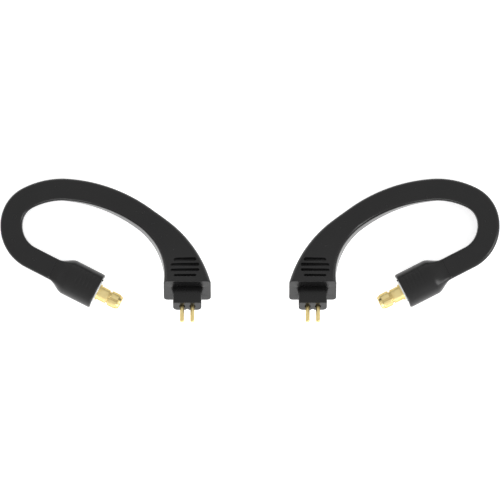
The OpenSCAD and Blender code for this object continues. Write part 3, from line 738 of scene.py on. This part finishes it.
def make_materials():
    return {
        "jacket_rubber": moulded_black("jacket_rubber", 0.010, 0.24, 0.03),
        "block_plastic": moulded_black("block_plastic", 0.009, 0.26, 0.04),
        "housing_rubber": moulded_black("housing_rubber", 0.010, 0.32, 0.03),
        "gold": plated_gold("gold", (0.83, 0.68, 0.32), 0.3),
        "end_ring_steel": metal("end_ring_steel", (0.82, 0.83, 0.83), 0.12),
        "ferrule_tin": metal("ferrule_tin", (0.7, 0.71, 0.72), 0.3),
        "memory_steel": metal("memory_steel", (0.55, 0.56, 0.57), 0.3),
        "copper": metal("copper", (0.8, 0.42, 0.26), 0.35),
        "white_plastic": plastic("white_plastic", (0.86, 0.86, 0.83), 0.5),
        "red_plastic": plastic("red_plastic", (0.5, 0.06, 0.05), 0.45),
        "resin": plastic("resin", (0.6, 0.46, 0.22), 0.25),
        "sleeve_plastic": plastic("sleeve_plastic", (0.03, 0.03, 0.03), 0.5),
    }


# ---- Pieces on their bodies ----
WIRES = ("memory_wire", "signal_insulation", "signal_core", "ground_insulation", "ground_core")


def mirrored(left, name):
    """The right hook's copy of a left piece."""
    mesh = left.data.copy()
    for v in mesh.vertices:
        v.co.x = -v.co.x
    mesh.flip_normals()
    ob = bpy.data.objects.new(name, mesh)
    bpy.context.scene.collection.objects.link(ob)
    return ob


def blend_loop(piece):
    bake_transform(piece)


def dress(frame, materials):
    slots = {p["node"]: p["material_slot"] for p in frame["record"]["subparts"]}
    for node, ob in frame["nodes"].items():
        for slot in ob.material_slots:
            slot.material = materials[slots[node]]
        if not ob.material_slots:
            ob.data.materials.append(materials[slots[node]])
    hook_pieces = {"plug_block": block(), "signal_pin": pin("left_signal_pin_skin", 1),
                   "ground_pin": pin("left_ground_pin_skin", -1)}
    plug_pieces = {"housing": housing(), "end_ring": end_ring(), "shell": shell(),
                   "snap_ring": snap_ring(), "dielectric": dielectric(), "contact": contact()}
    soft = {"jacket": jacket()}
    for side in ("left", "right"):
        for group, body in ((hook_pieces, "_hook"), (plug_pieces, "_monitor_end"), (soft, None)):
            for short, left in group.items():
                node = f"{side}_{short}"
                piece = left if side == "left" else mirrored(left, node + "_skin")
                if side == "left":
                    left.data.materials.append(materials[slots[node]])
                if body:
                    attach(piece, side + body)
                else:
                    blend_loop(piece)
                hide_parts(node)
        for short in WIRES:
            node = f"{side}_{short}"
            wire = bpy.data.objects.new(node + "_skin", frame["nodes"][node].data.copy())
            bpy.context.scene.collection.objects.link(wire)
            blend_loop(wire)
            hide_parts(node)


# ---- Floor, lights and camera, in metres and watts ----
FLOOR_SIZE = 3
GLOW, PATCH_GLOW = 0.62, 2.25        # of the floor at large, and in the middle of the patch
PATCH_AT, PATCH_REACH = (0, -0.062, 0), (0.06, 0.04, 1)
WORLD_STRENGTH = 0.85
# Name, place, (width, height) and power; both face the pair
LIGHTS = (("low_front", (0.0, -0.6, 0.2), (0.5, 0.2), 1.5),
          ("low_right", (0.5, -0.2, 0.25), (0.25, 0.25), 1.2))
LIGHTS_FACE = (0, 0, 0.005)
LENS, SENSOR = 600, 36               # in millimetres
PICTURE_W, PICTURE_Z = 0.0971, 0.004  # the picture takes in this width, at this height
CAMERA_SHIFT = 0.00005


def make_stage(floor_z):
    m, nodes, links, shader = material("floor", (0.93, 0.93, 0.93), 0.7, specular=0.2)
    coords = nodes.new("ShaderNodeTexCoord").outputs["Object"]
    mottle = noise(nodes, links, coords, FLOOR_MOTTLE, 3)
    links.new(ramp(nodes, links, mottle, [(0.2, (0.925, 0.925, 0.925)), (0.8, (0.94, 0.94, 0.94))]),
              shader.inputs["Base Color"])
    # A light table: it glows evenly, and brighter in a patch in front of the plugs
    patch = nodes.new("ShaderNodeTexGradient")
    patch.gradient_type = "SPHERICAL"
    reach = nodes.new("ShaderNodeMapping")
    reach.vector_type = "TEXTURE"
    reach.inputs["Location"].default_value = PATCH_AT
    reach.inputs["Scale"].default_value = PATCH_REACH
    links.new(coords, reach.inputs["Vector"])
    links.new(reach.outputs["Vector"], patch.inputs["Vector"])
    glow = nodes.new("ShaderNodeMapRange")
    glow.interpolation_type = "SMOOTHSTEP"
    glow.inputs["To Min"].default_value = GLOW
    glow.inputs["To Max"].default_value = PATCH_GLOW
    links.new(patch.outputs["Fac"], glow.inputs["Value"])
    shader.inputs["Emission Color"].default_value = (1, 1, 1, 1)
    links.new(glow.outputs["Result"], shader.inputs["Emission Strength"])
    bm = bmesh.new()
    bmesh.ops.create_grid(bm, x_segments=8, y_segments=8, size=FLOOR_SIZE)
    mesh = bpy.data.meshes.new("floor")
    bm.to_mesh(mesh)
    bm.free()
    mesh.materials.append(m)
    floor = bpy.data.objects.new("floor", mesh)
    floor.location.z = floor_z
    bpy.context.scene.collection.objects.link(floor)


def area_light(name, place_m, size, power):
    data = bpy.data.lights.new(name, "AREA")
    data.shape = "RECTANGLE"
    data.size, data.size_y = size
    data.energy = power
    ob = bpy.data.objects.new(name, data)
    ob.location = place_m
    ob.rotation_mode = "QUATERNION"
    ob.rotation_quaternion = (Vector(LIGHTS_FACE) - Vector(place_m)).to_track_quat("-Z", "Y")
    bpy.context.scene.collection.objects.link(ob)


def make_lights():
    world = bpy.data.worlds.new("studio")
    world.use_nodes = True
    background = world.node_tree.nodes["Background"]
    background.inputs["Color"].default_value = (1, 1, 1, 1)
    background.inputs["Strength"].default_value = WORLD_STRENGTH
    bpy.context.scene.world = world
    for light in LIGHTS:
        area_light(*light)


def make_camera(lo, hi):
    """Straight above the hooks, through a very long lens, with the pair as wide as the picture."""
    data = bpy.data.cameras.new("camera")
    data.lens, data.sensor_width = LENS, SENSOR
    middle = (lo + hi) / 2
    distance = PICTURE_W * LENS / SENSOR
    ob = bpy.data.objects.new("camera", data)
    ob.location = (middle[0], middle[1] + CAMERA_SHIFT, distance + PICTURE_Z)
    data.clip_end = 50
    bpy.context.scene.collection.objects.link(ob)
    bpy.context.scene.camera = ob


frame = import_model()
cad_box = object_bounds()
make_camera(*cad_box)
dress(frame, make_materials())
make_stage(cad_box[0][2])
make_lights()
bpy.context.scene.view_settings.view_transform = "Standard"
